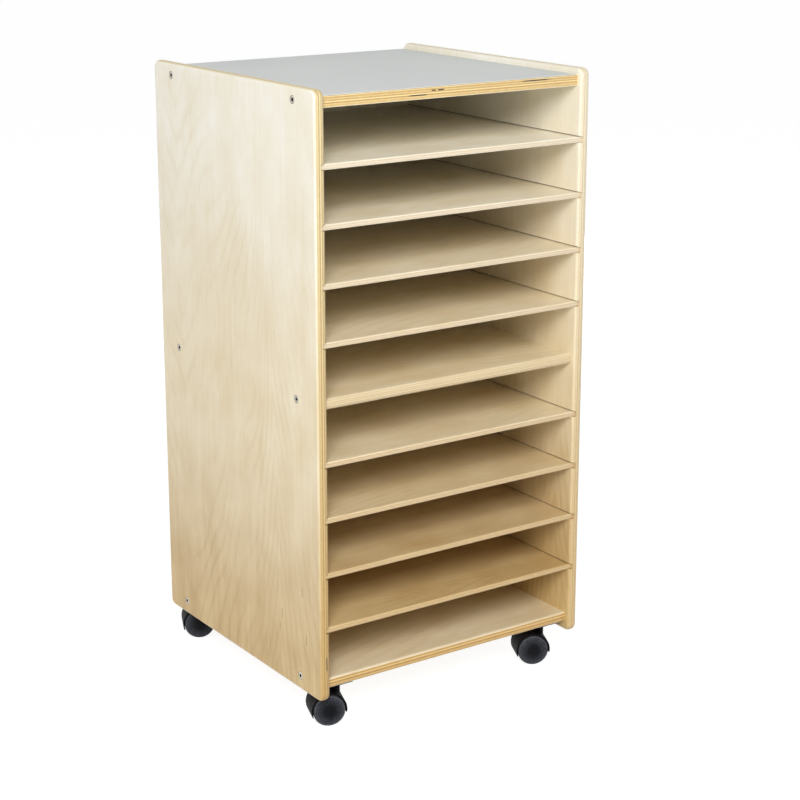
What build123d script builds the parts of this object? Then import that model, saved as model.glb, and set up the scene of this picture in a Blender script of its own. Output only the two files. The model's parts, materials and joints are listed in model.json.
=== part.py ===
from build123d import *
from math import cos, radians, sin, tan
import os

# Mobile open shelf cabinet in birch plywood: two sides, a laminated top, a fixed middle
# shelf, a bottom, a captured back, eight thin loose shelves and four hooded twin casters.
# Millimetres, +Z up, front towards -Y, origin on the floor under the cabinet's middle.

# Cabinet
body_w = 450.0            # over the outer faces of the sides
body_d = 438.0            # sides, front to back
ply_t = 15.0              # sides, top, middle shelf and bottom
bay_h = 70.5              # clear height of each of the ten bays
thin_t = 8.0              # loose shelf
thin_per_half = 4         # loose shelves above and below the middle shelf
laminate_t = 1.0
top_lip = 9.0             # sides stand above the laminate
bottom_lip = 14.0         # sides hang below the bottom's underside
side_corner_r = 11.0      # corners of the side's outline
side_round_r = 5.5        # round-over along the side's edges

# Fronts and backs of the decks, measured from the sides' edges
deck_front_set = 9.5      # top and bottom
middle_front_set = 8.0
thin_front_set = 3.0
deck_back_set = 4.0
top_ease_r = 1.2
bottom_ease_r = 5.0
middle_nose_r = 6.0
thin_ease_r = 2.5
edge_flat = 0.2           # least flat left between two roundings
cut_over = 1.0            # cutters run past an open edge

# Back panel, captured in a groove in the sides, top and bottom
back_t = 6.0
back_set = 9.5            # back panel's rear face, from the sides' back edges
groove_deep = 6.0
groove_play = 0.2         # each face
groove_end_play = 0.5

# Open-ended dados that carry the loose shelves
dado_deep = 6.0
dado_end_play = 0.5       # shelf end to dado floor
dado_top_play = 0.6       # above the shelf
dado_under_play = 0.1
thin_back_play = 0.8      # shelf to back panel

# Joint screws and dowels, three decks on each side
screw_head_r = 5.6
screw_shank_r = 3.2
screw_len = 48.0
screw_tip = 4.0
screw_sink = 0.3          # head below the side's face
screw_head_angle = 90.0
screw_key = 5.0           # hexagon socket, across flats
screw_key_deep = 2.6
screw_pilot_over = 2.0    # pilot hole past the tip
screw_front_set = 55.0    # from the side's front edge
screw_back_set = 53.0     # from its back edge
fit_play = 0.05           # radial, round pins and screws
dowel_r = 4.0
dowel_len = 28.0
dowel_in_side = 8.5
dowel_end_play = 0.5
dowel_front_in = 104.0    # dowels, in from the joint screws
dowel_back_in = 103.0
dowel_chamfer = 1.0

# Casters
caster_h = 61.5           # floor to the bottom's underside
caster_side_set = 29.0    # swivel axis, from the side's inner face
caster_end_set = 34.0     # swivel axis, from the sides' front and back edges
front_left_turn = -19.5   # rolling direction at rest, degrees from +X
front_right_turn = -25.0
back_left_turn = -24.0
back_right_turn = -22.0
trail = 13.0              # wheel axle behind the swivel axis
wheel_r = 23.0
wheel_inner = 7.0         # inner face, from the caster's middle plane
wheel_rim = 20.4          # outer face at the edge
wheel_crown = 1.6         # dome of the outer face
wheel_edge_r = 2.0
wheel_ring_r = 17.8       # shallow ring groove in the outer face
wheel_ring_w = 0.9
wheel_ring_deep = 0.45
tread_t = 2.7
disc_t = 2.6
hub_r = 5.0
rib_count = 6             # ribs between the hub and the tread
rib_t = 1.2
rib_set = 1.5             # below the tread's inner edge
rib_bite = 0.3            # rib ends sunk in the hub and the tread
axle_r = 2.5
axle_half = 17.0
axle_chamfer = 0.5
axle_end_play = 1.0
hood_gap = 0.8            # over the tread
hood_t = 1.7
hood_half = 20.0
hood_front_drop = 10.0    # degrees below level on the swivel side
hood_rear_drop = 20.0
hood_lip_r = 0.6
web_half = 5.6
web_hub_r = 6.5
thrust_play = 0.4         # web hub to wheel
boss_r = 6.3
boss_low = 24.0           # boss underside above the floor
stem_r = 4.0
stem_low = 30.0
stem_groove = 0.5
stem_groove_h = 2.0
stem_groove_up = 6.0      # above the stem's foot
collar_r = 6.5
collar_t = 1.0
collar_play = 0.3
plate_w = 38.0
plate_t = 2.0
plate_corner_r = 4.0
plate_pitch = 26.0
rivet_r = 3.0
plate_screw_r = 1.9
plate_screw_head_r = 3.6
plate_screw_head_h = 1.9
plate_screw_head_ease = 0.95
plate_screw_len = 11.0    # above the plate
plate_screw_pilot_over = 1.0
plate_screw_key = 2.5
plate_screw_key_deep = 1.1

# Worked out
inner_w = body_w - 2 * ply_t
bottom_z = caster_h
floor_z = bottom_z + ply_t
side_low = bottom_z - bottom_lip
half_h = thin_per_half * thin_t + (thin_per_half + 1) * bay_h
middle_z = floor_z + half_h
top_z = middle_z + ply_t + half_h
side_top = top_z + ply_t + laminate_t + top_lip
side_h = side_top - side_low
front_y = -body_d / 2
rear_y = body_d / 2
deck_front = front_y + deck_front_set
deck_rear = rear_y - deck_back_set
back_face = rear_y - back_set - back_t
groove_front = back_face - groove_play
thin_rear = back_face - thin_back_play
thin_w = inner_w + 2 * (dado_deep - dado_end_play)
round_r = min(side_round_r, ply_t / 2 - edge_flat, side_corner_r - edge_flat)
thin_low = [floor_z + bay_h + k * (thin_t + bay_h) for k in range(thin_per_half)]
thin_high = [middle_z + ply_t + bay_h + k * (thin_t + bay_h) for k in range(thin_per_half)]
deck_levels = [bottom_z, middle_z, top_z]
joint_ys = [front_y + screw_front_set, rear_y - screw_back_set]
dowel_ys = [joint_ys[0] + dowel_front_in, joint_ys[1] - dowel_back_in]
pilot_deep = screw_len - screw_sink - ply_t + screw_pilot_over
plate_z = caster_h - plate_t
boss_top = plate_z - collar_t - collar_play
hood_in = wheel_r + hood_gap
hood_out = hood_in + hood_t
caster_x = inner_w / 2 - caster_side_set
caster_y = body_d / 2 - caster_end_set
hands = {"left": -1, "right": 1}
casters = {
    "front_left": (-caster_x, -caster_y, front_left_turn),
    "front_right": (caster_x, -caster_y, front_right_turn),
    "back_left": (-caster_x, caster_y, back_left_turn),
    "back_right": (caster_x, caster_y, back_right_turn),
}


def write(piece, name):
    """Label a finished piece and write its file."""
    piece.part.label = name
    export_step(piece.part, f"parts/{name}.step")
    print(f"{name}: {len(piece.part.solids())} solid(s), {piece.part.volume / 1000:.2f} cm3")


def facing(hand, x, y, z):
    """A place on an upright face whose normal points to -X (hand -1) or +X (hand 1)."""
    return Location(Plane(origin=(x, y, z), x_dir=(0, hand, 0), z_dir=(hand, 0, 0)))


def joint_places(hand, x, ys):
    """Places at mid-thickness of the three decks, on the face at x."""
    return [facing(hand, x, y, level + ply_t / 2) for level in deck_levels for y in ys]


def side_panel(hand):
    """A side: rounded outline and edges, dados, back groove, screw and dowel holes."""
    inner_x = hand * inner_w / 2
    outer_x = hand * body_w / 2
    into_side = hand * ply_t
    with BuildPart() as side:
        with BuildSketch(Plane.YZ.offset(inner_x)):
            with Locations((0, (side_low + side_top) / 2)):
                RectangleRounded(body_d, side_h, side_corner_r)
        extrude(amount=into_side)
        flats = side.faces().filter_by(Axis.X)
        fillet(flats.edges(), round_r)
        dado_front = front_y - cut_over
        dado_h = thin_t + dado_top_play + dado_under_play
        dado_mid = dado_h / 2 - dado_under_play
        with BuildSketch(Plane.YZ.offset(inner_x)):
            for low in thin_low + thin_high:
                with Locations(((dado_front + groove_front) / 2, low + dado_mid)):
                    Rectangle(groove_front - dado_front, dado_h)
            with Locations((groove_front + back_t / 2 + groove_play, (floor_z + top_z) / 2)):
                Rectangle(back_t + 2 * groove_play, top_z - floor_z + 2 * groove_deep)
        extrude(amount=hand * dado_deep, mode=Mode.SUBTRACT)
        with Locations(joint_places(hand, outer_x - hand * screw_sink, joint_ys)):
            CounterSinkHole(
                radius=screw_shank_r + fit_play,
                counter_sink_radius=screw_head_r + fit_play,
                counter_sink_angle=screw_head_angle,
            )
        with Locations(joint_places(hand, outer_x, joint_ys)):
            Hole(radius=screw_head_r + fit_play, depth=screw_sink)
        with Locations(joint_places(-hand, inner_x, dowel_ys)):
            Hole(radius=dowel_r + fit_play, depth=dowel_in_side + dowel_end_play)
    return side


def deck(level, front, rear, nose_r, nose_both=True, groove=0, stands=()):
    """A thick deck between the sides, with pilot and dowel holes in both ends.

    groove is 1 for a back groove in the upper face, -1 for the lower one. stands are
    the swivel axes under the deck, where the plate screws get pilot holes.
    """
    mid = level + ply_t / 2
    with BuildPart() as board:
        with BuildSketch(Plane.XY.offset(level)):
            with Locations((0, (front + rear) / 2)):
                Rectangle(inner_w, rear - front)
        extrude(amount=ply_t)
        nose = board.faces().sort_by(Axis.Y)[0].edges().filter_by(Axis.X).sort_by(Axis.Z)
        fillet(nose if nose_both else nose[:1], min(nose_r, ply_t / 2 - edge_flat))
        if groove:
            with BuildSketch(Plane.XY.offset(mid + groove * ply_t / 2)):
                with Locations((0, groove_front + back_t / 2 + groove_play)):
                    Rectangle(inner_w, back_t + 2 * groove_play)
            extrude(amount=-groove * groove_deep, mode=Mode.SUBTRACT)
        for hand in hands.values():
            end_x = hand * inner_w / 2
            with Locations([facing(hand, end_x, y, mid) for y in joint_ys]):
                Hole(radius=screw_shank_r + fit_play, depth=pilot_deep)
            with Locations([facing(hand, end_x, y, mid) for y in dowel_ys]):
                Hole(
                    radius=dowel_r + fit_play,
                    depth=dowel_len - dowel_in_side + dowel_end_play,
                )
        for x, y in stands:
            with BuildSketch(stand(x, y, level)):
                with plate_corners():
                    Circle(plate_screw_r + fit_play)
            extrude(amount=plate_screw_len + plate_screw_pilot_over, mode=Mode.SUBTRACT)
    return board


def laminate():
    """Hard sheet bonded to the top panel's upper face."""
    with BuildPart() as sheet:
        with BuildSketch(Plane.XY.offset(top_z + ply_t)):
            with Locations((0, (deck_front + deck_rear) / 2)):
                Rectangle(inner_w, deck_rear - deck_front)
        extrude(amount=laminate_t)
    return sheet


def back_panel():
    """Thin ply back, with its edges in the grooves."""
    tongue = groove_deep - groove_end_play
    with BuildPart() as back:
        with BuildSketch(Plane.XZ.offset(-back_face)):
            with Locations((0, (floor_z + top_z) / 2)):
                Rectangle(inner_w + 2 * tongue, top_z - floor_z + 2 * tongue)
        extrude(amount=-back_t)
    return back


def thin_shelf(low):
    """A loose shelf with eased front edges; its ends ride in the dados."""
    front = front_y + thin_front_set
    with BuildPart() as shelf:
        with BuildSketch(Plane.XY.offset(low)):
            with Locations((0, (front + thin_rear) / 2)):
                Rectangle(thin_w, thin_rear - front)
        extrude(amount=thin_t)
        nose = shelf.faces().sort_by(Axis.Y)[0].edges().filter_by(Axis.X)
        fillet(nose, min(thin_ease_r, thin_t / 2 - edge_flat))
    return shelf


def joint_screw():
    """Flat-head connector screw along Z, head upwards, its top at z = 0."""
    cone = (screw_head_r - screw_shank_r) / tan(radians(screw_head_angle / 2))
    with BuildPart() as screw:
        with BuildSketch(Plane.XZ):
            with BuildLine():
                Polyline(
                    (0, 0),
                    (screw_head_r, 0),
                    (screw_shank_r, -cone),
                    (screw_shank_r, -screw_len + screw_tip),
                    (0, -screw_len),
                    close=True,
                )
            make_face()
        revolve(axis=Axis.Z)
        with BuildSketch():
            RegularPolygon(screw_key / 2, 6, major_radius=False)
        extrude(amount=-screw_key_deep, mode=Mode.SUBTRACT)
    return screw


def joint_screws(hand):
    """The six screws of one side."""
    one = joint_screw()
    with BuildPart() as screws:
        with Locations(joint_places(hand, hand * (body_w / 2 - screw_sink), joint_ys)):
            add(one.part)
    return screws


def dowels(hand):
    """The six dowels between one side and the decks."""
    with BuildPart() as one:
        with BuildSketch():
            Circle(dowel_r)
        extrude(amount=dowel_len)
        chamfer(one.faces().filter_by(Axis.Z).edges(), dowel_chamfer)
    start = hand * (inner_w / 2 + dowel_in_side)
    with BuildPart() as pegs:
        with Locations(joint_places(-hand, start, dowel_ys)):
            add(one.part)
    return pegs


def plate_corners():
    """The four screw places of a mounting plate."""
    return GridLocations(plate_pitch, plate_pitch, 2, 2)


def stand(x, y, z):
    """Level plane at a caster's swivel axis, square to the cabinet."""
    return Plane(origin=(x, y, z))


def mounting_plate(x, y):
    """Square steel plate with a rivet hole and four screw holes."""
    with BuildPart() as plate:
        with BuildSketch(stand(x, y, plate_z)):
            RectangleRounded(plate_w, plate_w, plate_corner_r)
            Circle(rivet_r + fit_play, mode=Mode.SUBTRACT)
            with plate_corners():
                Circle(plate_screw_r + fit_play, mode=Mode.SUBTRACT)
        extrude(amount=plate_t)
    return plate


def stem(x, y):
    """Kingpin: rivet through the plate, collar, and a grooved pin in the housing."""
    groove_z = stem_low + stem_groove_up
    with BuildPart() as pin:
        with BuildSketch(Plane(origin=(x, y, 0), x_dir=(1, 0, 0), z_dir=(0, -1, 0))):
            with BuildLine():
                Polyline(
                    (0, stem_low),
                    (stem_r - stem_groove, stem_low),
                    (stem_r, stem_low + stem_groove),
                    (stem_r, groove_z),
                    (stem_r - stem_groove, groove_z),
                    (stem_r - stem_groove, groove_z + stem_groove_h),
                    (stem_r, groove_z + stem_groove_h),
                    (stem_r, plate_z - collar_t),
                    (collar_r, plate_z - collar_t),
                    (collar_r, plate_z),
                    (rivet_r, plate_z),
                    (rivet_r, caster_h),
                    (0, caster_h),
                    close=True,
                )
            make_face()
        revolve(axis=Axis((x, y, 0), (0, 0, 1)))
    return pin


def plate_screws(x, y):
    """Four pan-head wood screws up through the plate."""
    with BuildPart() as screws:
        with BuildSketch(stand(x, y, plate_z)):
            with plate_corners():
                Circle(plate_screw_head_r)
        extrude(amount=-plate_screw_head_h)
        rims = screws.faces().sort_by(Axis.Z)[:4].edges()
        fillet(rims, plate_screw_head_ease)
        with BuildSketch(stand(x, y, plate_z)):
            with plate_corners():
                Circle(plate_screw_r)
        extrude(amount=plate_t + plate_screw_len)
        with BuildSketch(stand(x, y, plate_z - plate_screw_head_h)):
            with plate_corners():
                RegularPolygon(plate_screw_key / 2, 6, major_radius=False)
        extrude(amount=plate_screw_key_deep, mode=Mode.SUBTRACT)
    return screws


def caster_plane(x, y, turn):
    """Floor plane of a caster: x is its rolling direction, y runs along its axle."""
    way = (cos(radians(turn)), sin(radians(turn)), 0)
    return Plane(origin=(x, y, 0), x_dir=way, z_dir=(0, 0, 1))


def within(at, plane):
    """A plane given in a caster's own frame, set in the cabinet's."""
    return Plane(at.location * plane.location)


def hood_outline(radius):
    """Sector of the hood's angle about the wheel axle, in the plane of the wheels."""
    start = -hood_front_drop
    sweep = 180 + hood_front_drop + hood_rear_drop
    centre = (-trail, wheel_r)
    with BuildLine() as outline:
        arc = CenterArc(centre, radius, start, sweep)
        Line(arc @ 1, centre)
        Line(centre, arc @ 0)
    return outline


def housing(at):
    """Moulded hood over both wheels, centre web, axle hub and swivel boss."""
    wheel_plane = within(at, Plane.XZ)
    centre = (-trail, wheel_r)
    shell = hood_outline(hood_out)
    with BuildPart() as hood:
        with BuildSketch(wheel_plane):
            add(shell.line)
            make_face()
            with Locations(centre):
                Circle(hood_in, mode=Mode.SUBTRACT)
        extrude(amount=hood_half, both=True)
        rims = hood.edges().filter_by(GeomType.CIRCLE).group_by(SortBy.RADIUS)[-1]
        fillet(rims, min(hood_lip_r, hood_t / 2 - edge_flat))
        with BuildSketch(wheel_plane):
            add(shell.line)
            make_face()
            with Locations(centre):
                Circle(web_hub_r)
        extrude(amount=web_half, both=True)
        with BuildSketch(wheel_plane):
            with Locations(centre):
                Circle(web_hub_r)
        extrude(amount=wheel_inner - thrust_play, both=True)
        with BuildSketch(within(at, Plane.XY.offset(boss_low))):
            Circle(boss_r)
        extrude(amount=boss_top - boss_low)
        with BuildSketch(within(at, Plane.XY.offset(stem_low - stem_groove))):
            Circle(stem_r + fit_play)
        extrude(amount=boss_top - stem_low + stem_groove + cut_over, mode=Mode.SUBTRACT)
        with BuildSketch(wheel_plane):
            with Locations(centre):
                Circle(axle_r + fit_play)
        extrude(amount=hood_half, both=True, mode=Mode.SUBTRACT)
    return hood


def axle(at):
    """Pin through the housing's hub, with a wheel on each end."""
    with BuildPart() as pin:
        with BuildSketch(within(at, Plane.XZ)):
            with Locations((-trail, wheel_r)):
                Circle(axle_r)
        extrude(amount=axle_half, both=True)
        ends = pin.edges().filter_by(GeomType.CIRCLE)
        chamfer(ends, axle_chamfer)
    return pin


def wheel(at, way):
    """One moulded wheel; way is -1 for the one on the axle's front end, 1 for the rear."""
    centre = at.from_local_coords(Vector(-trail, 0, wheel_r))
    outward = at.y_dir * way
    section = Plane(origin=centre, x_dir=(0, 0, 1), z_dir=Vector(0, 0, 1).cross(outward))
    inner_r = wheel_r - tread_t
    crown = wheel_rim + wheel_crown
    ring_drop = wheel_crown * (wheel_ring_r / (wheel_r - wheel_edge_r)) ** 2
    rib_foot = wheel_inner + rib_set
    rib_plane = Plane(origin=centre + outward * rib_foot, x_dir=(0, 0, 1), z_dir=outward)
    with BuildPart() as disc:
        with BuildSketch(section):
            with BuildLine():
                face = ThreePointArc(
                    (0, crown),
                    (wheel_r / 2, crown - wheel_crown / 4),   # a dome drops a quarter by half way
                    (wheel_r - wheel_edge_r, wheel_rim),
                )
                edge = TangentArc(
                    face @ 1,
                    (wheel_r, wheel_rim - wheel_edge_r),
                    tangent=face % 1,
                )
                Polyline(
                    edge @ 1,
                    (wheel_r, wheel_inner),
                    (inner_r, wheel_inner),
                    (inner_r, wheel_rim - disc_t),
                    (hub_r, wheel_rim - disc_t),
                    (hub_r, wheel_inner),
                    (axle_r + fit_play, wheel_inner),
                    (axle_r + fit_play, axle_half + axle_end_play),
                    (0, axle_half + axle_end_play),
                    (0, crown),
                )
            make_face()
        revolve(axis=Axis(centre, outward))
        with BuildSketch(section):
            with Locations((wheel_ring_r, crown - ring_drop)):
                Rectangle(wheel_ring_w, 2 * wheel_ring_deep)
        revolve(axis=Axis(centre, outward), mode=Mode.SUBTRACT)
        with BuildSketch(rib_plane):
            with PolarLocations((hub_r + inner_r) / 2, rib_count):
                Rectangle(inner_r - hub_r + 2 * rib_bite, rib_t)
        extrude(amount=wheel_rim - disc_t - rib_foot)
    return disc


def main():
    """Build every piece of the cabinet and write one file for each."""
    os.makedirs("parts", exist_ok=True)
    for name, hand in hands.items():
        write(side_panel(hand), f"{name}_side")
        write(joint_screws(hand), f"{name}_joint_screws")
        write(dowels(hand), f"{name}_dowels")

    top = deck(top_z, deck_front, deck_rear, top_ease_r, nose_both=False, groove=-1)
    write(top, "top_panel")
    write(laminate(), "top_laminate")
    write(deck(middle_z, front_y + middle_front_set, thin_rear, middle_nose_r), "middle_shelf")
    stands = [(x, y) for x, y, turn in casters.values()]
    bottom = deck(bottom_z, deck_front, deck_rear, bottom_ease_r, groove=1, stands=stands)
    write(bottom, "bottom_panel")
    write(back_panel(), "back_panel")

    for count, low in enumerate(reversed(thin_low + thin_high), start=1):
        write(thin_shelf(low), f"thin_shelf_{count}")

    for name, (x, y, turn) in casters.items():
        write(mounting_plate(x, y), f"{name}_plate")
        write(plate_screws(x, y), f"{name}_plate_screws")
        write(stem(x, y), f"{name}_stem")
        at = caster_plane(x, y, turn)
        write(housing(at), f"{name}_housing")
        write(axle(at), f"{name}_axle")
        write(wheel(at, -1), f"{name}_outer_wheel")
        write(wheel(at, 1), f"{name}_inner_wheel")


main()
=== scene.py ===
# %% [markdown]
# # A mobile shelf cabinet in birch plywood
# The cabinet is two plywood sides, a top with a grey laminate sheet, a middle shelf, a bottom, a
# thin back and eight loose shelves, on four hooded twin casters. Its solids come ready packed and
# already have every form that shows, so this lesson models none of them again: it keeps each
# piece where it is and gives it a finish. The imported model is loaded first, because every later
# step measures from it.

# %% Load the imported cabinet
import json
from math import tau

import bmesh
import bpy
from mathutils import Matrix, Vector


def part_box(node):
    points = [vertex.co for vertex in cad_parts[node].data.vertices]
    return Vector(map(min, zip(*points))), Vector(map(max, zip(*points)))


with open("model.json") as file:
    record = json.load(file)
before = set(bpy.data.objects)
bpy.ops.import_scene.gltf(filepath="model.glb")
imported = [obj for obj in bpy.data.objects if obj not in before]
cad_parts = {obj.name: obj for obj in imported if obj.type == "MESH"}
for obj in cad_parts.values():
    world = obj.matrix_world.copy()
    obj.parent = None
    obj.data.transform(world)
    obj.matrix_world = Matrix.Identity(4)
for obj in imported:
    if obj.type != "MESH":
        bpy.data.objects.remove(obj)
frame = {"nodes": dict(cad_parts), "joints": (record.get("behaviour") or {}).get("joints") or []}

nodes = frame["nodes"]
loose_shelves = sorted(name for name in nodes if name.startswith("thin_shelf_"))
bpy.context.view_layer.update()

# %% [markdown]
# ## The camera
# The photograph was taken from the cabinet's left front, a little above its top. A camera is a
# place, a point to look at and a focal length. These values were fitted to the cabinet's corners,
# so that each board falls near its own line in the picture. The small shift slides the picture
# without tilting the upright edges.

# %% Set up the camera
EYE = Vector((-1.48579, -2.24515, 1.17706))
AIM = Vector((0.05533, 0.0, 0.45584))
SENSOR_MM, LENS_MM = 36.0, 85.33
SHIFT_UP = -0.06
camera_data = bpy.data.cameras.new("studio_camera")
camera_data.sensor_width = SENSOR_MM
camera_data.lens = LENS_MM
camera_data.shift_y = SHIFT_UP
camera = bpy.data.objects.new("studio_camera", camera_data)
camera.location = EYE
camera.rotation_mode = "QUATERNION"
camera.rotation_quaternion = (AIM - EYE).to_track_quat("-Z", "Y")
bpy.context.scene.collection.objects.link(camera)
bpy.context.scene.camera = camera
bpy.context.scene.view_settings.view_transform = "Standard"
print("camera distance:", round((AIM - EYE).length, 3), "m")

# %% [markdown]
# ## Small tools for shader nodes
# A finish is a network of nodes. Adding a node takes three steps each time: make it, set it, and
# wire it. These helpers do that in one line, so that the finishes below read like recipes.

# %% Node helpers
def paint(red, green, blue):
    """A colour picked on a screen (0 to 255), as the linear colour that shaders use."""
    linear = []
    for part in (red, green, blue):
        part /= 255
        linear.append(part / 12.92 if part < 0.04045 else ((part + 0.055) / 1.055) ** 2.4)
    return (*linear, 1.0)


def fill(tree, made, inputs):
    """Fills a node's inputs with plain values or with other nodes' outputs."""
    for key, value in inputs.items():
        if isinstance(value, bpy.types.NodeSocket):
            tree.links.new(value, made.inputs[key])
        else:
            made.inputs[key].default_value = value


def node(tree, kind, inputs=(), **settings):
    """Adds a shader node, sets it and fills its inputs."""
    made = tree.nodes.new("ShaderNode" + kind)
    for key, value in settings.items():
        setattr(made, key, value)
    fill(tree, made, dict(inputs))
    return made


def calc(tree, operation, *terms, clamp=False):
    """One step of arithmetic."""
    return node(tree, "Math", enumerate(terms), operation=operation, use_clamp=clamp).outputs[0]


def mixed(tree, factor, first, second, blend="MIX"):
    """Two colours mixed, or blended as layers are."""
    sockets = {0: factor, 6: first, 7: second}
    return node(tree, "Mix", sockets, data_type="RGBA", blend_type=blend).outputs[2]


def ranged(tree, value, low, high, to_low=0.0, to_high=1.0):
    """A value eased from one range to another."""
    sockets = {0: value, 1: low, 2: high, 3: to_low, 4: to_high}
    return node(tree, "MapRange", sockets, interpolation_type="SMOOTHSTEP").outputs[0]


EVEN = (1.0, 1.0, 1.0)


def noise(tree, vector, stretch, scale, detail=2.0):
    """Cloudy noise, stretched by a factor along each axis."""
    drawn = node(tree, "VectorMath", {0: vector, 1: stretch}, operation="MULTIPLY").outputs[0]
    sockets = {"Vector": drawn, "Scale": scale, "Detail": detail}
    return node(tree, "TexNoise", sockets).outputs[0]


print("node helpers ready, mid grey is", round(paint(128, 128, 128)[0], 3))

# %% [markdown]
# ## Small tools for groups and materials
# An effect that several finishes share is a node group, made once and placed in each of them.
# These helpers make a group with named sockets, place a copy of one, start a material and wire a
# finish into its shader. Fine relief goes in through a Bump node, as a height in metres.

# %% Group and material helpers
def new_group(name, inputs, outputs):
    """An empty node group with named sockets: returns its tree, its inputs and its outputs."""
    tree = bpy.data.node_groups.new(name, "ShaderNodeTree")
    for side, sockets in (("INPUT", inputs), ("OUTPUT", outputs)):
        for label, kind in sockets.items():
            tree.interface.new_socket(label, in_out=side, socket_type="NodeSocket" + kind)
    entry = tree.nodes.new("NodeGroupInput").outputs
    leave = tree.nodes.new("NodeGroupOutput").inputs
    return tree, entry, leave


def placed(tree, group, inputs):
    """A copy of a node group placed in a material: returns its outputs."""
    made = tree.nodes.new("ShaderNodeGroup")
    made.node_tree = group
    fill(tree, made, inputs)
    return made.outputs


def new_material(name):
    """A material with its surface shader: returns the material, its tree and the shader."""
    material = bpy.data.materials.new(name)
    material.use_nodes = True
    return material, material.node_tree, material.node_tree.nodes["Principled BSDF"]


def finish_with(tree, shader, color, roughness, height, distance):
    """Wires a finish into its shader, with the height through a Bump node."""
    tree.links.new(color, shader.inputs["Base Color"])
    tree.links.new(roughness, shader.inputs["Roughness"])
    bump = node(tree, "Bump", {"Height": height, "Distance": distance})
    tree.links.new(bump.outputs[0], shader.inputs["Normal"])


def dress(name, material):
    """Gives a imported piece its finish, in every material slot that it has."""
    mesh = nodes[name].data
    if not mesh.materials:
        mesh.materials.append(material)
    for slot in range(len(mesh.materials)):
        mesh.materials[slot] = material


print("group and material helpers ready, pieces to dress:", len(nodes))

# %% [markdown]
# ## Birch veneer
# The boards' faces are rotary-cut birch: a cream sheet peeled off the log, so its year rings show
# as wide, soft contours drawn out along the grain. They are lines of equal height on a hill:
# folding the sheet's width makes the hill, and slow noise bends it. Over them lie bands, flames,
# fine fibres and short dark pores. The pattern is worked out from the board's own coordinates,
# with X across the grain and Z along it, and not painted, so it stays sharp at any distance.

# %% The patterns in the veneer
PATTERNS = {                     # stretch along the grain, scale, detail
    "drift": (0.35, 5.0, 2.0),
    "uneven": (0.6, 15.0, 1.0),
    "faint": (0.7, 7.0, 1.0),
    "fibre": (0.02, 330.0, 3.0),
    "band": (0.06, 46.0, 2.0),
    "flame": (0.7, 17.0, 3.0),
    "cloud": (0.5, 5.0, 1.0),
    "pore": (0.08, 1500.0, 1.0),
}
veneer, inside, outside = new_group(
    "birch_veneer",
    {"Grain": "Vector", "Pale": "Color", "Warm": "Color", "Fleck": "Color"},
    {"Color": "Color", "Roughness": "Float", "Height": "Float"},
)
across, _, along_grain = node(veneer, "SeparateXYZ", {0: inside["Grain"]}).outputs
pattern = {
    label: noise(veneer, inside["Grain"], (1.0, 1.0, stretch), scale, detail)
    for label, (stretch, scale, detail) in PATTERNS.items()
}
print("patterns:", ", ".join(pattern))

# %% The contours
BEND = 0.1                               # metres that the drift bends the grain sideways
HILL_MIDDLE, HILL_HALF = 0.05, 0.245     # metres
ARM_CURVE, ARM_SLOPE = 700.0, 120.0      # how steeply a contour falls from its tip
ALONG = 105.0                            # radians of contour for each metre of grain
DRIFT_PUSH, UNEVEN_PUSH = 24.0, 7.0      # radians
SHARPNESS = 4.0                          # a higher power gives thinner rings
bent = calc(veneer, "MULTIPLY_ADD", pattern["drift"], BEND, across)
fold = calc(veneer, "PINGPONG", calc(veneer, "SUBTRACT", bent, HILL_MIDDLE), HILL_HALF)
arm = calc(veneer, "MULTIPLY_ADD", calc(veneer, "MULTIPLY", fold, fold), ARM_CURVE,
           calc(veneer, "MULTIPLY", fold, ARM_SLOPE))
turns = calc(veneer, "SUBTRACT", calc(veneer, "MULTIPLY", along_grain, ALONG), arm)
turns = calc(veneer, "MULTIPLY_ADD", pattern["drift"], DRIFT_PUSH, turns)
turns = calc(veneer, "MULTIPLY_ADD", pattern["uneven"], UNEVEN_PUSH, turns)
rings = calc(veneer, "MULTIPLY_ADD", calc(veneer, "SINE", turns), 0.5, 0.5)
rings = calc(veneer, "POWER", rings, SHARPNESS)
rings = calc(veneer, "MULTIPLY", rings, ranged(veneer, pattern["faint"], 0.4, 0.68))
print("contours:", round(ALONG / tau, 1), "for each metre of grain")

# %% The veneer's colour, gloss and relief
RINGS, FLAME, BAND, CLOUD, FIBRE = 0.24, 1.15, 0.4, 0.6, 0.5   # shares in the warm tone
PALER = 0.9
PORE_DARK = 0.12
SMOOTHEST, ROUGHEST = 0.36, 0.5
tone = calc(veneer, "MULTIPLY_ADD", rings, RINGS,
            calc(veneer, "MULTIPLY", pattern["flame"], FLAME))
tone = calc(veneer, "MULTIPLY_ADD", pattern["band"], BAND, calc(veneer, "SUBTRACT", tone, PALER))
tone = calc(veneer, "MULTIPLY_ADD", pattern["cloud"], CLOUD, tone)
tone = calc(veneer, "MULTIPLY_ADD", pattern["fibre"], FIBRE, tone, clamp=True)
pore = ranged(veneer, pattern["pore"], 0.62, 0.74)
wood = mixed(veneer, tone, inside["Pale"], inside["Warm"])
wood = mixed(veneer, calc(veneer, "MULTIPLY", pore, PORE_DARK), wood, inside["Fleck"])
gloss = ranged(veneer, pattern["fibre"], 0.2, 0.8, SMOOTHEST, ROUGHEST)
veneer.links.new(wood, outside["Color"])
veneer.links.new(gloss, outside["Roughness"])
veneer.links.new(calc(veneer, "SUBTRACT", pattern["fibre"], pore), outside["Height"])
print("group:", veneer.name, len(veneer.nodes), "nodes")

# %% [markdown]
# ## Plywood edges
# Where a board is cut or rounded, its layers show. Neighbouring layers run at right angles, so on
# any cut edge every second one shows the ends of its fibres, which drink the lacquer and look
# brown, and the others show their sides and stay cream. The depth below the board's face says
# which layer a point is in, and the way the surface faces says how that layer is cut. This gives
# the stripes on square edges and the widening bands on rounded ones with one rule.

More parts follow.
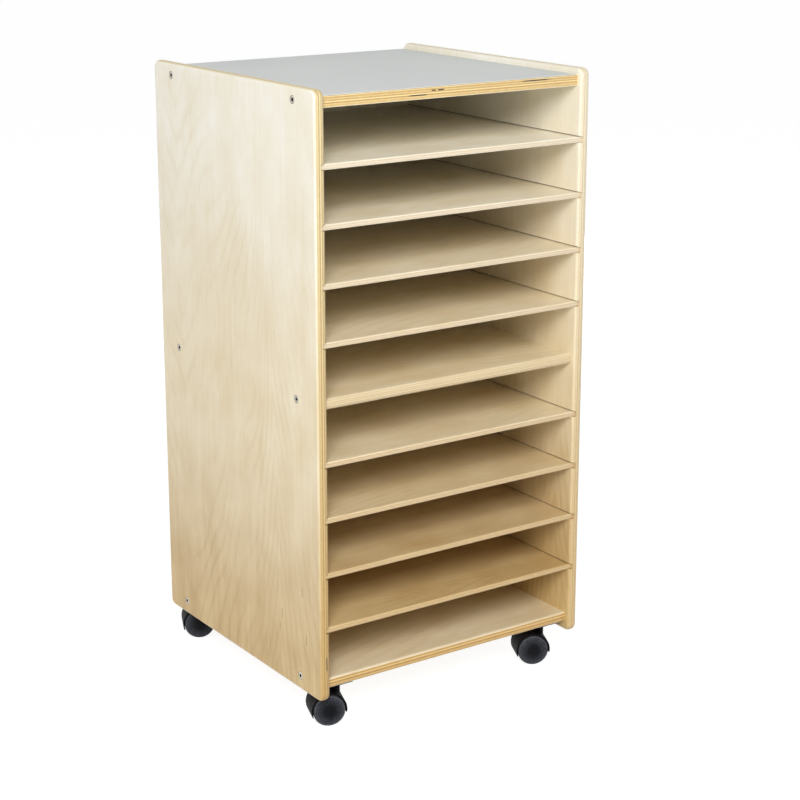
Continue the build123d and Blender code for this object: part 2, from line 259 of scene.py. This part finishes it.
# %% Which layer, and how it is cut
layers, inside, outside = new_group(
    "ply_layers",
    {
        "Depth": "Float",
        "Layer": "Float",
        "Grain": "Vector",
        "Facing": "Vector",
        "Side Grain": "Color",
        "End Grain": "Color",
        "Glue": "Color",
    },
    {"Color": "Color", "Height": "Float", "Index": "Float"},
)
ratio = calc(layers, "DIVIDE", inside["Depth"], inside["Layer"])
index = calc(layers, "FLOOR", ratio)
crossed = calc(layers, "ABSOLUTE", calc(layers, "MODULO", index, 2.0))
straight = calc(layers, "SUBTRACT", 1.0, crossed)
ways = node(layers, "SeparateXYZ", {0: inside["Facing"]}).outputs
cut_crossed = calc(layers, "MULTIPLY", calc(layers, "ABSOLUTE", ways[0]), crossed)
cut_straight = calc(layers, "MULTIPLY", calc(layers, "ABSOLUTE", ways[2]), straight)
endness = calc(layers, "ADD", cut_crossed, cut_straight, clamp=True)
layers.links.new(index, outside["Index"])
print("layers are told apart with", len(layers.nodes), "nodes")

# %% The layers' colour and relief
CHANCE, END_CUT, STREAK, CREAM = 0.5, 0.55, 0.35, 0.28   # what turns a layer brown, or not
DOT_DARK, SEAM_DARK = 0.35, 0.45
chance = node(layers, "TexWhiteNoise", {"W": index}, noise_dimensions="1D").outputs[0]
streaks = noise(layers, inside["Grain"], EVEN, 160.0, 3.0)
specks = noise(layers, inside["Grain"], EVEN, 1400.0, 1.0)
amount = calc(layers, "MULTIPLY_ADD", chance, CHANCE, calc(layers, "MULTIPLY", endness, END_CUT))
amount = calc(layers, "MULTIPLY_ADD", streaks, STREAK,
              calc(layers, "SUBTRACT", amount, CREAM), clamp=True)
edge = mixed(layers, amount, inside["Side Grain"], inside["End Grain"])
dots = calc(layers, "MULTIPLY", ranged(layers, specks, 0.5, 0.72), endness)
edge = mixed(layers, calc(layers, "MULTIPLY", dots, DOT_DARK), edge, inside["Glue"])
seam = calc(layers, "ABSOLUTE", calc(layers, "SUBTRACT", calc(layers, "FRACT", ratio), 0.5))
seam = calc(layers, "MULTIPLY", ranged(layers, seam, 0.42, 0.49), SEAM_DARK)
edge = mixed(layers, seam, edge, inside["Glue"])
relief = calc(layers, "SUBTRACT", streaks, calc(layers, "ADD", seam, dots))
layers.links.new(edge, outside["Color"])
layers.links.new(relief, outside["Height"])
print("group:", layers.name, len(layers.nodes), "nodes")

# %% [markdown]
# ## The colours of the boards
# The boards are lacquered birch, nearly white high up and darker and more tan towards the floor:
# partly the wood's own tone, partly painted shade of the light falling from above. Their edges
# differ more than their faces do, because each batch of plywood has other layers. So the veneer
# has one set of tones, given for three heights, and the edges have four palettes.

# %% Tones and palettes
HIGH_UP, HALF_WAY, LOW_DOWN = 0.88, 0.42, 0.02    # metres above the floor
# Each tone darkens and tans towards the floor, partly as painted shade of light falling from above
TONES = {
    "Pale": (paint(253, 250, 240), paint(244, 232, 204), paint(222, 195, 140)),
    "Warm": (paint(237, 227, 199), paint(222, 200, 156), paint(182, 144, 82)),
}
FINE_EDGE = {
    "Side Grain": paint(240, 232, 210),
    "End Grain": paint(220, 202, 162),
    "Glue": paint(136, 108, 74),
}
TAN_EDGE = {
    "Side Grain": paint(234, 219, 174),
    "End Grain": paint(190, 160, 102),
    "Glue": paint(92, 68, 38),
}
WHITE_EDGE = {
    "Side Grain": paint(236, 226, 207),
    "End Grain": paint(222, 206, 174),
    "Glue": paint(160, 132, 94),
}
STRIPED_EDGE = {
    "Side Grain": paint(242, 218, 156),
    "End Grain": paint(190, 146, 82),
    "Glue": paint(76, 50, 26),
}
FLECK = paint(128, 88, 52)
# Dark brown of the voids, also used for the painted shadow in the grooves' gaps
VOID_AND_GAP_SHADE = paint(48, 32, 20)
print("tones:", len(TONES), "at three heights, edge palettes: 4")

# %% [markdown]
# ## Marks on a board
# A few marks make a sheet look real: small voids where a layer is missing, brown streaks, and a
# painted shadow line along the top of each groove in the sides, in the gap that a loose shelf
# leaves. Each is a soft mask, multiplied together from masks for its place along each axis.

# %% Masks and marks
GAP_HALF = 0.0007                # half the height of a gap line, in metres
SOFT = 0.3                       # share of a mark's half length over which it fades
# How dark the painted shadow in a groove's gap is, and how dark a streak is
GAP_SHADE, STREAK_DARK = 0.8, 0.5
STREAK_SLIM = 7                  # a streak is this many times longer than wide


def ordered(tree, parts, order):
    """The three parts of a place or direction, in a board's own order."""
    return node(tree, "CombineXYZ", {i: parts[axis] for i, axis in enumerate(order)}).outputs[0]


def tone_and_shade_by_height(tree, level, label):
    """A veneer tone, palest high up and darker and more tan low down, partly as painted shade."""
    top, middle, foot = TONES[label]
    upper = mixed(tree, ranged(tree, level, HIGH_UP, HALF_WAY), top, middle)
    return mixed(tree, ranged(tree, level, HALF_WAY, LOW_DOWN), upper, foot)


def near(tree, value, middle, half):
    """A soft mask, 1 within half of the middle."""
    off = calc(tree, "ABSOLUTE", calc(tree, "SUBTRACT", value, middle))
    return ranged(tree, off, (1 - SOFT) * half, (1 + SOFT) * half, 1.0, 0.0)


def product(tree, *terms):
    """Several masks multiplied."""
    result = terms[0]
    for term in terms[1:]:
        result = calc(tree, "MULTIPLY", result, term)
    return result


def gap_shadow_lines(tree, place, way, piece):
    """Painted shadow lines along the grooves of a side, in the gap above each loose shelf."""
    low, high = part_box(piece)
    inward = -1.0 if low.x + high.x > 0 else 1.0
    inner = ranged(tree, calc(tree, "MULTIPLY", way[0], inward), 0.6, 0.9)
    lines = 0.0
    for shelf in loose_shelves:
        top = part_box(shelf)[1].z
        lines = calc(tree, "ADD", near(tree, place[2], top + GAP_HALF, GAP_HALF), lines)
    return product(tree, lines, inner, GAP_SHADE)


print("masks ready, a gap line is", 2000 * GAP_HALF, "mm high")

# %% [markdown]
# ## One recipe for every board
# The sides stand with upright grain, the shelves lie with the grain from left to right, and each
# board is a different sheet. So one function makes a board's finish from a few facts: which axis
# goes through its thickness and which runs along its grain, how many plies it has, and which
# palette its edges take. The rest comes from the board's own box. The clear lacquer is a thin
# coat over the wood, which gives a soft sheen.

# %% The board finish
EDGE_TONE_AND_SHADE = 0.8                   # how far the edges follow the faces' tone and painted shade
WOOD_RELIEF = 0.00005            # metres
BLEND = 0.05                     # share of a layer over which veneer gives way to edge
FLAT_FROM, FLAT_TO = 0.25, 0.7   # how squarely a surface faces for its veneer to show
OPEN_FROM, OPEN_TO = 0.2, 0.5    # and how squarely for a void to close
RAGGED = 0.35                    # share of a void's half length that its ends wander
LACQUER, LACQUER_ROUGH = 0.22, 0.3


def board_finish(piece, axes, plies, edges, seed, lift, voids=(), streaks=()):
    """Lacquered birch plywood. axes are the thickness axis and the grain axis."""
    through, along = axes
    order = (3 - through - along, through, along)
    low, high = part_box(piece)
    thickness = high[through] - low[through]
    layer = thickness / plies
    material, tree, shader = new_material(f"{piece}_ply")
    where = node(tree, "TexCoord").outputs
    place = node(tree, "SeparateXYZ", {0: where["Object"]}).outputs
    way = node(tree, "SeparateXYZ", {0: where["Normal"]}).outputs
    moved = node(tree, "VectorMath", {0: ordered(tree, place, order), 1: (seed, 0.0, 0.0)})
    grain = moved.outputs[0]

    # The face: veneer, in the tone of its height above the floor, painted shade included
    level = calc(tree, "ADD", place[2], lift)
    colors = {label: tone_and_shade_by_height(tree, level, label) for label in TONES}
    sheet = placed(tree, veneer, {"Grain": grain, "Fleck": FLECK, **colors})

    # The edge: the layers as they are cut there
    depth = calc(tree, "SUBTRACT", place[through], low[through])
    cut = placed(tree, layers, {
        "Depth": depth, "Layer": layer, "Grain": grain,
        "Facing": ordered(tree, way, order), **edges,
    })
    # The edges darken towards the floor like the faces, partly as painted shade
    floorward_tone_and_shade = ranged(tree, level, HIGH_UP, LOW_DOWN, 0.0, EDGE_TONE_AND_SHADE)
    edge = mixed(tree, floorward_tone_and_shade, cut["Color"], TONES["Pale"][2], "MULTIPLY")

    # Veneer shows only in the outermost layer, and where the surface is nearly flat
    flat = calc(tree, "ABSOLUTE", way[through])
    from_middle = calc(tree, "ABSOLUTE", calc(tree, "SUBTRACT", depth, thickness / 2))
    inner_edge = thickness / 2 - (1 + BLEND) * layer
    outer_edge = thickness / 2 - (1 - BLEND) * layer
    outer = ranged(tree, from_middle, inner_edge, outer_edge)
    skin = calc(tree, "MULTIPLY", outer, ranged(tree, flat, FLAT_FROM, FLAT_TO))
    color = mixed(tree, skin, edge, sheet["Color"])

    for middle, half, ply in voids:
        ragged = calc(tree, "MULTIPLY_ADD", cut["Height"], RAGGED * half, place[along])
        here = calc(tree, "COMPARE", cut["Index"], float(ply), 0.5)
        open_edge = ranged(tree, flat, OPEN_FROM, OPEN_TO, 1.0, 0.0)
        hole = product(tree, near(tree, ragged, middle, half), here, open_edge)
        color = mixed(tree, hole, color, VOID_AND_GAP_SHADE)
    for across_at, along_at, half in streaks:
        mark = product(
            tree, near(tree, place[order[0]], across_at, half / STREAK_SLIM),
            near(tree, place[along], along_at, half), skin,
        )
        color = mixed(tree, calc(tree, "MULTIPLY", mark, STREAK_DARK), color, FLECK)
    # Painted shadow lines in the gaps above the loose shelves
    if piece.endswith("_side"):
        color = mixed(tree, gap_shadow_lines(tree, place, way, piece), color, VOID_AND_GAP_SHADE)

    height = calc(tree, "ADD", calc(tree, "MULTIPLY", sheet["Height"], skin), cut["Height"])
    finish_with(tree, shader, color, sheet["Roughness"], height, WOOD_RELIEF)
    shader.inputs["Coat Weight"].default_value = LACQUER
    shader.inputs["Coat Roughness"].default_value = LACQUER_ROUGH
    return material


print("board recipe ready, lacquer", LACQUER)

# %% [markdown]
# ## Sides, decks, back and loose shelves
# Each board gets its own copy of the finish, measured from its own box, so that no two shelves
# have the same grain. The seed only moves the pattern sideways, and the lift takes the tone, with
# its painted shade, of a place that much higher or lower.

# %% Dress the boards
X, Y, Z = range(3)
SIDE_VOIDS = [(0.105, 0.009, 5)]          # middle along the grain, half length, ply
TOP_VOIDS = [(0.139, 0.022, 7), (-0.058, 0.014, 3), (-0.022, 0.005, 6), (-0.034, 0.003, 6)]
SIDE_STREAKS = [(-0.118, 0.147, 0.007), (-0.112, 0.125, 0.006),
                (-0.172, 0.195, 0.007), (-0.182, 0.128, 0.008)]   # across, along, half length
# Inner boards take the tone of a place a little lower, which darkens them as painted shade
LOWER = -0.06
FIRST_SEED, SEED_STEP = 6.0, 0.53
BOARDS = [                                # axes, plies, edge palette, seed, lift, marks
    ("left_side", (X, Z), 9, TAN_EDGE, 0.34, 0.0, SIDE_VOIDS, SIDE_STREAKS),
    ("right_side", (X, Z), 9, FINE_EDGE, 1.9, LOWER),
    ("top_panel", (Z, X), 9, STRIPED_EDGE, 2.3, 0.0, TOP_VOIDS),
    ("middle_shelf", (Z, X), 11, FINE_EDGE, 3.0, LOWER),
    ("bottom_panel", (Z, X), 7, STRIPED_EDGE, 3.7, 0.3),
    ("back_panel", (Y, Z), 5, FINE_EDGE, 5.1, LOWER),
]
for count, shelf in enumerate(loose_shelves, 1):
    BOARDS.append((shelf, (Z, X), 5, WHITE_EDGE, FIRST_SEED + SEED_STEP * count, LOWER))
for name, *facts in BOARDS:
    dress(name, board_finish(name, *facts))
print("boards dressed:", len(BOARDS))

# %% [markdown]
# ## The laminate top
# The top carries a hard grey sheet, glued on and trimmed flush. Its face has a very fine matt
# texture, and its trimmed edge shows the pale skin over a brown core.

# %% Dress the laminate
CORE, SKIN = 0.0003, 0.0005      # metres above its underside where core ends and skin starts
LAMINATE_RELIEF = 0.00002        # metres
LAMINATE_SHINE = 0.35
CLOUDY_SHARE = 0.25
material, tree, shader = new_material("grey_laminate")
where = node(tree, "TexCoord").outputs
fine = noise(tree, where["Object"], EVEN, 2600.0)
cloudy = noise(tree, where["Object"], EVEN, 5.0)
low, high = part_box("top_laminate")
level = node(tree, "SeparateXYZ", {0: where["Object"]}).outputs[2]
upward = node(tree, "SeparateXYZ", {0: where["Normal"]}).outputs[2]
face = mixed(tree, fine, paint(208, 212, 210), paint(220, 223, 219))
face = mixed(tree, calc(tree, "MULTIPLY", cloudy, CLOUDY_SHARE), face, paint(203, 206, 206))
skin = ranged(tree, level, low.z + CORE, low.z + SKIN)
edge = mixed(tree, skin, paint(92, 70, 50), paint(236, 232, 220))
color = mixed(tree, ranged(tree, upward, 0.4, 0.6), edge, face)
rough = ranged(tree, cloudy, 0.3, 0.7, 0.42, 0.5)
finish_with(tree, shader, color, rough, fine, LAMINATE_RELIEF)
shader.inputs["Specular IOR Level"].default_value = LAMINATE_SHINE
dress("top_laminate", material)
print("laminate:", [round(v, 4) for v in high - low])

# %% [markdown]
# ## Steel, plastic and beech
# The casters are moulded in black nylon, matt from the fine grain of the mould, with some dust.
# Their plates, plate screws and stems are steel painted black, the wheels' axles are bright steel,
# and the dowels inside the joints are beech. One group gives the small unevenness that all of
# them share.

# %% The group for moulded and metal surfaces
FILM_ROUGH, SPECK_SHARE = 0.3, 0.6
surface, inside, outside = new_group(
    "shop_surface",
    {"Base": "Color", "Dust": "Color", "Where": "Vector", "Rough": "Float", "Spread": "Float"},
    {"Color": "Color", "Roughness": "Float", "Height": "Float"},
)
grit = noise(surface, inside["Where"], EVEN, 1900.0)
cloud = noise(surface, inside["Where"], EVEN, 70.0, 3.0)
film = calc(surface, "MULTIPLY", ranged(surface, cloud, 0.35, 0.75), inside["Spread"])
speck = ranged(surface, noise(surface, inside["Where"], EVEN, 620.0, 1.0), 0.68, 0.8)
film = calc(surface, "MULTIPLY_ADD", speck,
            calc(surface, "MULTIPLY", inside["Spread"], SPECK_SHARE), film, clamp=True)
rough = calc(surface, "MULTIPLY_ADD", film, FILM_ROUGH, inside["Rough"], clamp=True)
surface.links.new(mixed(surface, film, inside["Base"], inside["Dust"]), outside["Color"])
surface.links.new(rough, outside["Roughness"])
surface.links.new(grit, outside["Height"])
print("group:", surface.name, len(surface.nodes), "nodes")

# %% Dress the casters' plain parts and the dowels
DUST = paint(92, 90, 88)
MATT, PLAIN_SHINE = 0.08, 0.5    # specular levels
GRIT_RELIEF = 0.00003            # metres


def shop_finish(name, base, dust, rough, spread, metallic=0.0, shine=PLAIN_SHINE):
    """Moulded plastic or metal. base is a colour, or a function that draws one in the tree."""
    material, tree, shader = new_material(name)
    where = node(tree, "TexCoord").outputs["Object"]
    color = base(tree) if callable(base) else base
    made = placed(tree, surface, {
        "Base": color, "Dust": dust, "Where": where, "Rough": rough, "Spread": spread,
    })
    finish_with(tree, shader, made["Color"], made["Roughness"], made["Height"], GRIT_RELIEF)
    shader.inputs["Metallic"].default_value = metallic
    shader.inputs["Specular IOR Level"].default_value = shine
    return material


hood_plastic = shop_finish(
    "hood_plastic", paint(7, 7, 8), DUST, rough=0.55, spread=0.02, shine=MATT)
plate_steel = shop_finish(
    "plate_steel", paint(16, 16, 18), DUST, rough=0.45, spread=0.08, shine=MATT)
axle_steel = shop_finish(
    "axle_steel", paint(190, 190, 192), paint(110, 106, 100), rough=0.25, spread=0.3, metallic=1.0)
beech = shop_finish(
    "beech_dowel", paint(214, 178, 132), paint(180, 140, 96), rough=0.5, spread=0.5)
PLAIN_PARTS = {
    "_housing": hood_plastic,
    "_plate": plate_steel,
    "_plate_screws": plate_steel,
    "_stem": plate_steel,
    "_axle": axle_steel,
    "_dowels": beech,
}
for name in nodes:
    for ending, material in PLAIN_PARTS.items():
        if name.endswith(ending):
            dress(name, material)
print("finishes:", len(bpy.data.materials))

# %% [markdown]
# ## Wheel faces
# Each wheel's outer face is a shallow dome with a fine groove near its rim. The middle is black
# and the band outside it greyer, and a painted highlight lies along the groove's lips and the
# dome's brow. All of that goes by the distance from the wheel's axle, so the finish is given the
# axle's place and direction, which the joints list for every wheel.

# %% The wheels' finish
CENTRE_BLACK = paint(15, 16, 20)
RIM_GREY = paint(52, 54, 60)
# The lightest grey is a painted highlight on the groove's lips and the dome's brow
LIP_HIGHLIGHT = paint(96, 98, 104)
DARK_MIDDLE, GROOVE, BROW = 0.006, 0.0178, 0.0208    # radii, in metres
RIM_GREYING = 1.7
LINE, FADED = 0.0004, 0.0012                         # a painted highlight line's half width, and its fade


def greyed_and_highlit(tree, pivot, axle):
    """Black in the middle, greyer to the rim, with a painted highlight on the groove's lips and
    the dome's brow.
    """
    place = node(tree, "TexCoord").outputs["Object"]
    arm = node(tree, "VectorMath", {0: place, 1: pivot}, operation="SUBTRACT").outputs[0]
    swept = node(tree, "VectorMath", {0: arm, 1: axle}, operation="CROSS_PRODUCT").outputs[0]
    radius = node(tree, "VectorMath", {0: swept}, operation="LENGTH").outputs["Value"]
    uneven = noise(tree, place, EVEN, 260.0)
    rim = calc(tree, "MULTIPLY", ranged(tree, radius, DARK_MIDDLE, GROOVE), uneven, clamp=True)
    color = mixed(tree, calc(tree, "MULTIPLY", rim, RIM_GREYING, clamp=True), CENTRE_BLACK, RIM_GREY)
    lip_highlight = 0.0
    for ring, share in ((GROOVE, 0.5), (BROW, 1.0)):
        off = calc(tree, "ABSOLUTE", calc(tree, "SUBTRACT", radius, ring))
        line = product(tree, ranged(tree, off, LINE, FADED, 1.0, 0.0), uneven, share)
        lip_highlight = calc(tree, "ADD", line, lip_highlight, clamp=True)
    return mixed(tree, lip_highlight, color, LIP_HIGHLIGHT)


for joint in frame["joints"]:
    name = joint["child"]
    if name.endswith("_wheel"):
        pivot, axle = Vector(joint["pos_m"]), Vector(joint["axis"]).normalized()
        dress(name, shop_finish(
            f"{name}_plastic", lambda tree: greyed_and_highlit(tree, pivot, axle), DUST,
            rough=0.45, spread=0.04, shine=MATT,
        ))
print("wheels worn, materials now:", len(bpy.data.materials))

# %% [markdown]
# ## Screws that show
# Six zinc screws hold each side, with a six-sided recess in a flat head. Painted shade, with some
# dirt, darkens the narrow gap round the head and the recess, and that is what makes them show on
# the pale wood. The heads stand in a grid, so folding the coordinates brings all of them onto one.

# %% The joint screws' finish
HEAD_RADIUS = 0.0056
RECESS, RECESS_LIP = 0.0024, 0.0030          # bare zinc starts between these radii, outside the recess's painted shade
RIM_INSIDE, RIM_OUTSIDE = 0.0046, 0.0052     # and ends between these, where the painted shade of the gap round the head begins
# The dark colour is painted shade with some dirt, for the gap round each head and its recess
ZINC, GRIME_AND_SHADE = paint(214, 210, 200), paint(58, 54, 46)


def shaded_and_grimed(tree, low, middle_y, row_y, quarter_z):
    """Bright zinc between painted shade, with some dirt, at the rim and in the recess."""
    place = node(tree, "TexCoord").outputs["Object"]
    part = node(tree, "SeparateXYZ", {0: place}).outputs
    off_y = calc(tree, "ABSOLUTE", calc(tree, "SUBTRACT", part[1], middle_y))
    off_y = calc(tree, "SUBTRACT", off_y, row_y)
    off_z = calc(tree, "SUBTRACT", part[2], low.z + HEAD_RADIUS)
    off_z = calc(tree, "PINGPONG", off_z, quarter_z)
    flat = node(tree, "CombineXYZ", {0: off_y, 1: off_z}).outputs[0]
    radius = node(tree, "VectorMath", {0: flat}, operation="LENGTH").outputs["Value"]
    unshaded_zinc = product(
        tree, ranged(tree, radius, RIM_INSIDE, RIM_OUTSIDE, 1.0, 0.0),
        ranged(tree, radius, RECESS, RECESS_LIP),
    )
    return mixed(tree, unshaded_zinc, GRIME_AND_SHADE, ZINC)


for name in ("left_joint_screws", "right_joint_screws"):
    low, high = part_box(name)
    middle_y = (low.y + high.y) / 2
    row_y = (high.y - low.y) / 2 - HEAD_RADIUS
    quarter_z = (high.z - low.z - 2 * HEAD_RADIUS) / 4
    dress(name, shop_finish(
        f"{name}_zinc", lambda tree: shaded_and_grimed(tree, low, middle_y, row_y, quarter_z),
        paint(120, 112, 100), rough=0.26, spread=0.2, metallic=1.0,
    ))
print("screws:", round(row_y, 4), round(quarter_z, 4))

# %% [markdown]
# ## Studio floor
# A plain white floor and a white room give the clean catalogue look. The camera sees them as
# white through the Light Path node, while the floor still takes the cabinet's soft shadow.
# Mirror and glass rays see the same white, so that metal shows it too.

# %% Floor and room
FLOOR_HALF = 40.0                # metres
FLOOR_PAINT, FLOOR_ROUGH = 0.9, 0.9
SHOWN_WHITE = 0.7                # share of the glow in what the camera sees of the floor
GLOW = 1.26                      # brings what is seen of the floor up to white
ROOM = 0.34                      # the room's light on the cabinet
WHITE = (1.0, 1.0, 1.0, 1.0)


def seen_share(tree, share):
    """Share of the light path's camera, mirror and glass rays."""
    ray = node(tree, "LightPath").outputs
    seen = calc(tree, "MAXIMUM", ray["Is Camera Ray"], ray["Is Glossy Ray"])
    return calc(tree, "MULTIPLY", calc(tree, "MAXIMUM", seen, ray["Is Transmission Ray"]), share)


mesh = bpy.data.meshes.new("floor")
shape = bmesh.new()
bmesh.ops.create_grid(shape, x_segments=1, y_segments=1, size=FLOOR_HALF)
shape.to_mesh(mesh)
shape.free()
floor = bpy.data.objects.new("floor", mesh)
bpy.context.scene.collection.objects.link(floor)

material, tree, shader = new_material("floor_white")
shader.inputs["Base Color"].default_value = (FLOOR_PAINT, FLOOR_PAINT, FLOOR_PAINT, 1.0)
shader.inputs["Roughness"].default_value = FLOOR_ROUGH
glow = node(tree, "Emission", {"Color": WHITE, "Strength": GLOW}).outputs[0]
both = node(tree, "MixShader", {0: seen_share(tree, SHOWN_WHITE), 1: shader.outputs[0], 2: glow})
tree.links.new(both.outputs[0], tree.nodes["Material Output"].inputs["Surface"])
floor.data.materials.append(material)

world = bpy.data.worlds.new("white_room")
world.use_nodes = True
bpy.context.scene.world = world
tree = world.node_tree
level = calc(tree, "MULTIPLY_ADD", seen_share(tree, 1.0), 1.0 - ROOM, ROOM)
background = tree.nodes["Background"]
background.inputs["Color"].default_value = WHITE
tree.links.new(level, background.inputs["Strength"])
print("floor:", 2 * FLOOR_HALF, "m wide, room light:", ROOM)

# %% [markdown]
# ## Lamps
# The light is three broad panels: the strongest at the left front, high up, so that the top of
# the side is brightest, a weak one at the right front, and one at the right back that keeps the
# far sides clear. The last stands below the top's level, because higher up it glares on the grey
# laminate.

# %% The lamps
LAMPS = (                        # name, size in metres, watts, place, point to shine at
    ("key_panel", 1.4, 108.0, (-1.9, -2.6, 2.4), (0.0, 0.0, 0.6)),
    ("fill_panel", 1.8, 7.0, (2.2, -2.6, 1.5), (0.0, 0.0, 0.4)),
    ("rear_panel", 0.8, 26.0, (2.0, 2.6, 0.44), (0.0, 0.0, 0.44)),
)
for name, size, watts, place, aim in LAMPS:
    data = bpy.data.lights.new(name, "AREA")
    data.size = size
    data.energy = watts
    lamp = bpy.data.objects.new(name, data)
    lamp.location = place
    lamp.rotation_mode = "QUATERNION"
    lamp.rotation_quaternion = (Vector(aim) - Vector(place)).to_track_quat("-Z", "Y")
    bpy.context.scene.collection.objects.link(lamp)
print("lamps:", len(bpy.data.lights))
